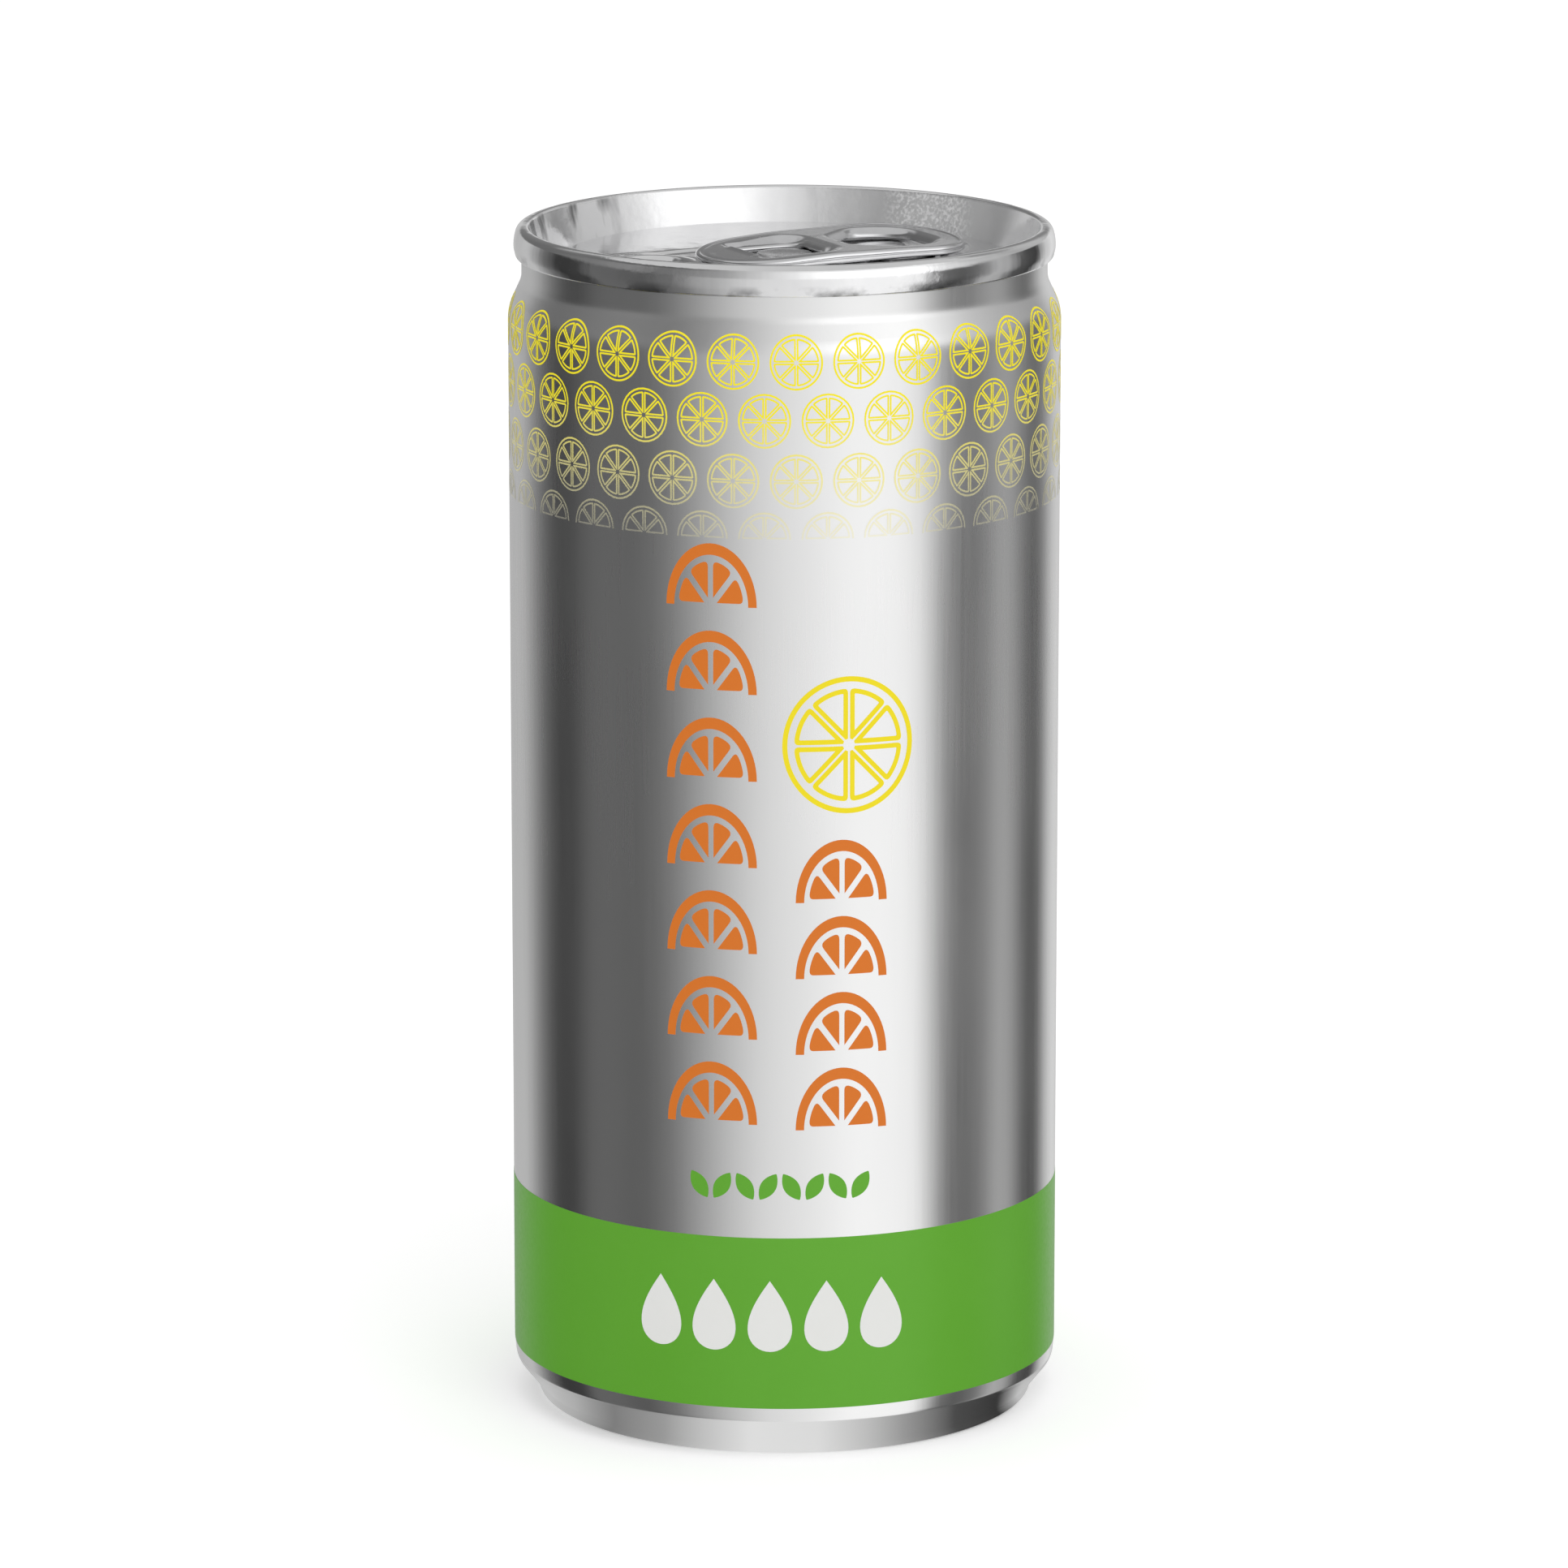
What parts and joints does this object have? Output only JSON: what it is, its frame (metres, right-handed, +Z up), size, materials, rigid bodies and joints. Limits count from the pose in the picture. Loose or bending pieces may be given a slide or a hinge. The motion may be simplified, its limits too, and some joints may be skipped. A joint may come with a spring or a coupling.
{
  "type": "juice can",
  "caption": "Slim cylindrical aluminium drinks can, shut and full of juice, with a necked top, a double-seamed end, a stay-on pull tab and a domed base.",
  "frame": {"origin": "on the can's axis, in the plane of the stand ring that the can rests on", "axes": "+Z up along the can's axis, -Y towards the front of the print, +X to the right seen from the front"},
  "size_m": [0.053, 0.053, 0.1152],
  "materials": {
    "can_wall": "satin drawn and ironed aluminium under clear varnish",
    "end_metal": "bright rolled and lacquered sheet",
    "tab_metal": "bright stamped sheet",
    "green_ink": "printed green ink under clear varnish",
    "orange_ink": "printed orange ink under clear varnish",
    "yellow_ink": "printed yellow ink under clear varnish",
    "white_ink": "printed white ink under clear varnish"
  },
  "bodies": {
    "root": {"can_body": "can_wall", "can_end": "end_metal", "pull_tab": "tab_metal"}
  },
  "joints": []
}
